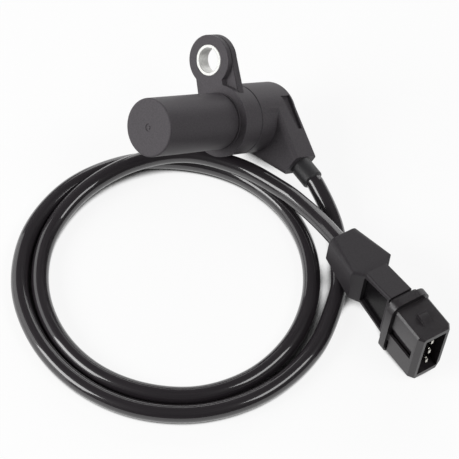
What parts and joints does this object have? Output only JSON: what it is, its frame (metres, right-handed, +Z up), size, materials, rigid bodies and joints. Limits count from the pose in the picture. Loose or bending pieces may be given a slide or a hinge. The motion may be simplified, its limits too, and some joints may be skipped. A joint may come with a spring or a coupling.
{
  "type": "crankshaft position sensor",
  "caption": "Round-nosed magnetic pickup with a seat disc, bolt ear, angled rear outlet, moulded cable laid in a coil, and a flat plug with blade contacts.",
  "frame": {"origin": "on the floor, under the middle of the head's box, cable and plug left out", "axes": "+Z up; the head lies on the rear rim of its drum with the nose raised toward -X; the plug's mouth faces -Y"},
  "size_m": [0.113, 0.1233, 0.0501],
  "materials": {
    "housing_plastic": "matte moulded",
    "sleeve_steel": "bright",
    "bobbin_plastic": "matte",
    "copper_wire": "enamelled copper",
    "pole_steel": "turned",
    "magnet_alloy": "sintered",
    "tinned_brass": "tinned",
    "core_insulation": "smooth",
    "collar_rubber": "matte",
    "cable_jacket": "glossy",
    "grip_plastic": "matte moulded",
    "plug_plastic": "satin moulded"
  },
  "bodies": {
    "root": {"front_housing": "housing_plastic", "mounting_sleeve": "sleeve_steel", "rear_housing": "housing_plastic", "coil_bobbin": "bobbin_plastic", "coil_winding": "copper_wire", "pole_pin": "pole_steel", "magnet": "magnet_alloy", "terminal_left": "tinned_brass", "terminal_right": "tinned_brass", "core_wire_left": "core_insulation", "core_wire_right": "core_insulation", "cable_grommet": "collar_rubber", "cable": "cable_jacket", "connector_boot": "grip_plastic", "connector_shell": "plug_plastic", "contact_pin_1": "tinned_brass", "contact_pin_2": "tinned_brass", "contact_pin_3": "tinned_brass", "plug_wire_1": "core_insulation", "plug_wire_2": "core_insulation", "plug_wire_3": "core_insulation"}
  },
  "joints": []
}
